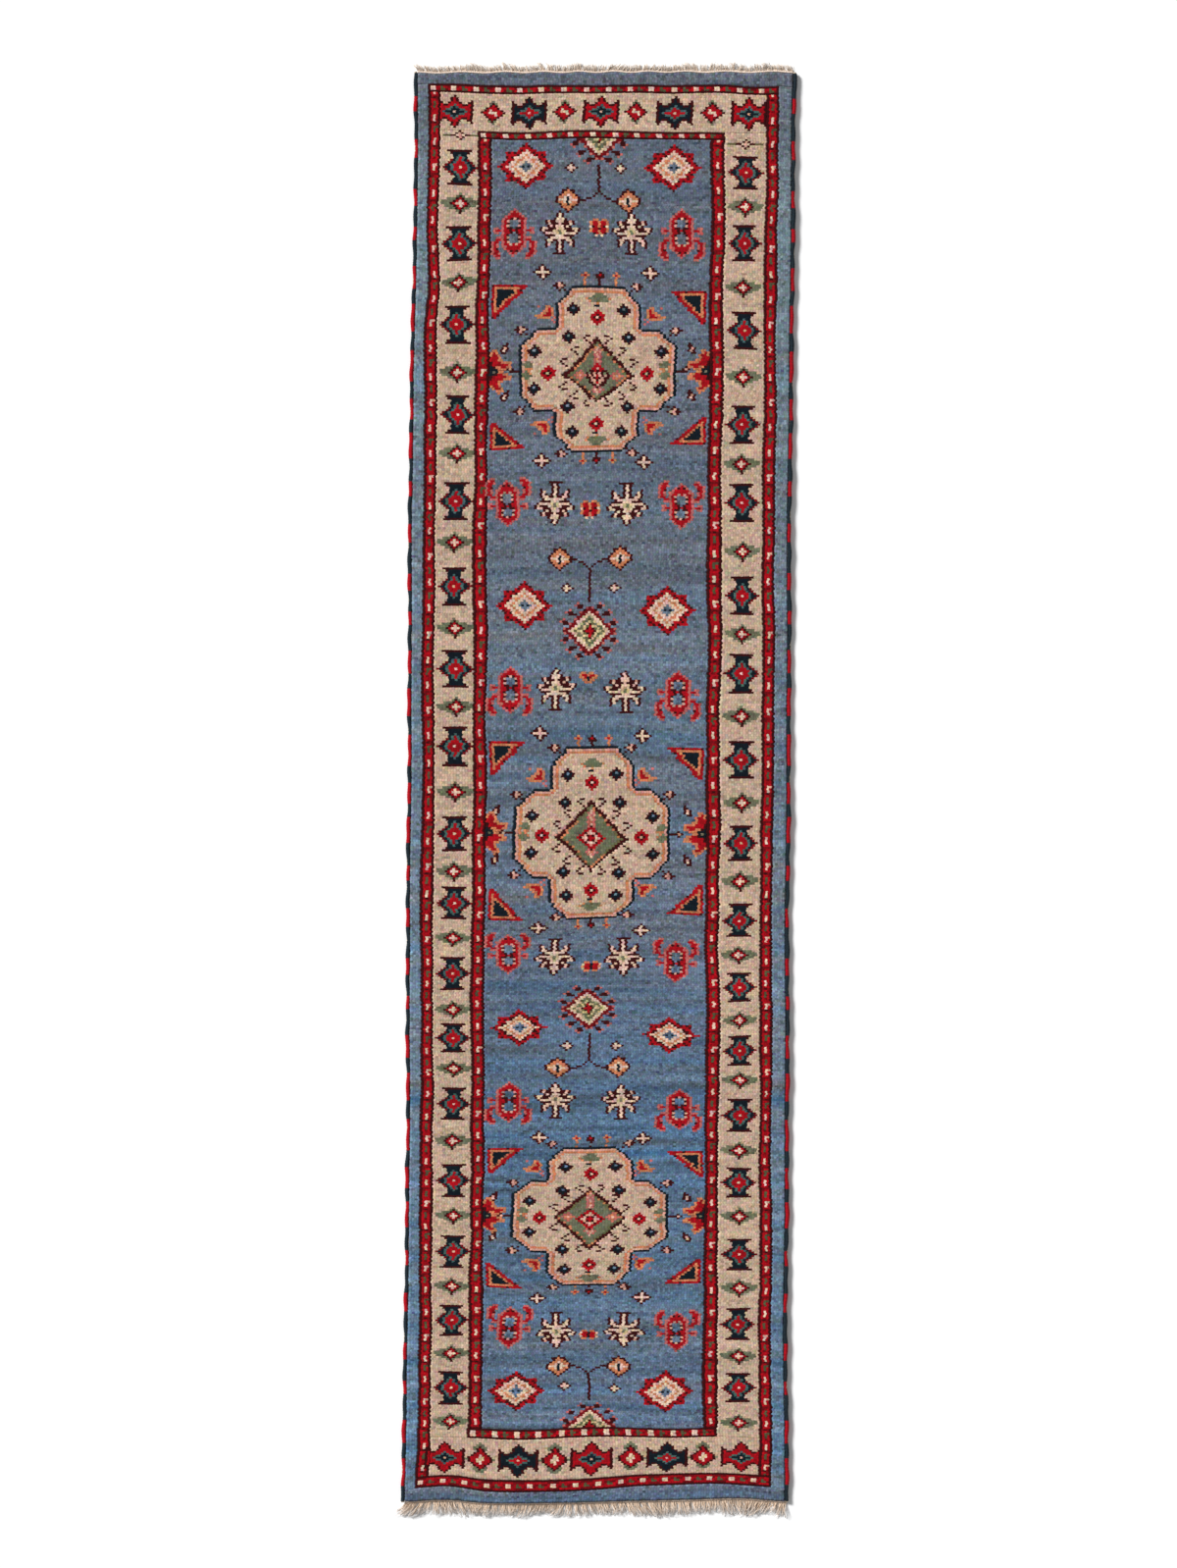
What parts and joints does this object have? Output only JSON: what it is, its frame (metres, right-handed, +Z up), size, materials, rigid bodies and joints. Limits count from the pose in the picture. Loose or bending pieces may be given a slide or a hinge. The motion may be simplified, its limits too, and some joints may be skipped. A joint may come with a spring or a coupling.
{
  "type": "runner rug",
  "caption": "Long narrow hand-knotted wool pile runner with stepped cross medallions on a blue field, an ivory main border, overcast selvedges and short cotton fringes.",
  "frame": {"origin": "on the floor under the middle of the rug's bounding box", "axes": "+Y along the rug towards the end with the shorter fringe, +X across the rug, +Z up out of the pile"},
  "size_m": [0.64, 2.424, 0.01],
  "materials": {
    "field_wool": "blue wool pile with soft colour bands and small motifs",
    "edge_band_wool": "plain blue wool pile",
    "guard_wool": "crimson wool pile with ivory and green dots",
    "border_wool": "ivory wool pile with navy and red figures",
    "medallion_wool": "ivory wool pile outlined in navy and apricot",
    "heart_wool": "sage green wool pile with salmon arms",
    "selvedge_navy_wool": "navy overcast wool yarn",
    "selvedge_red_wool": "red overcast wool yarn",
    "core_cotton": "plied cotton cord",
    "foundation_cotton": "plain woven cotton warp and weft",
    "end_cotton": "twined and flat-woven cotton",
    "fringe_cotton": "loose plied cotton warp ends"
  },
  "bodies": {
    "root": {"end_twining_bottom": "end_cotton", "end_twining_top": "end_cotton", "end_weave_bottom": "end_cotton", "end_weave_top": "end_cotton", "fringe_bottom": "fringe_cotton", "fringe_top": "fringe_cotton", "pile_edge_band_bottom": "edge_band_wool", "pile_edge_band_left": "edge_band_wool", "pile_edge_band_right": "edge_band_wool", "pile_edge_band_top": "edge_band_wool", "pile_field_mid_north": "field_wool", "pile_field_mid_south": "field_wool", "pile_field_north": "field_wool", "pile_field_south": "field_wool", "pile_inner_guard_bottom": "guard_wool", "pile_inner_guard_left": "guard_wool", "pile_inner_guard_right": "guard_wool", "pile_inner_guard_top": "guard_wool", "pile_main_border_bottom": "border_wool", "pile_main_border_left": "border_wool", "pile_main_border_right": "border_wool", "pile_main_border_top": "border_wool", "pile_medallion_centre": "medallion_wool", "pile_medallion_heart_centre": "heart_wool", "pile_medallion_heart_north": "heart_wool", "pile_medallion_heart_south": "heart_wool", "pile_medallion_north": "medallion_wool", "pile_medallion_south": "medallion_wool", "pile_outer_guard_bottom": "guard_wool", "pile_outer_guard_left": "guard_wool", "pile_outer_guard_right": "guard_wool", "pile_outer_guard_top": "guard_wool", "selvedge_core_left": "core_cotton", "selvedge_core_right": "core_cotton", "selvedge_wrap_navy_left": "selvedge_navy_wool", "selvedge_wrap_navy_right": "selvedge_navy_wool", "selvedge_wrap_red_left": "selvedge_red_wool", "selvedge_wrap_red_right": "selvedge_red_wool", "warp_threads": "foundation_cotton", "weft_threads": "foundation_cotton"}
  },
  "joints": []
}
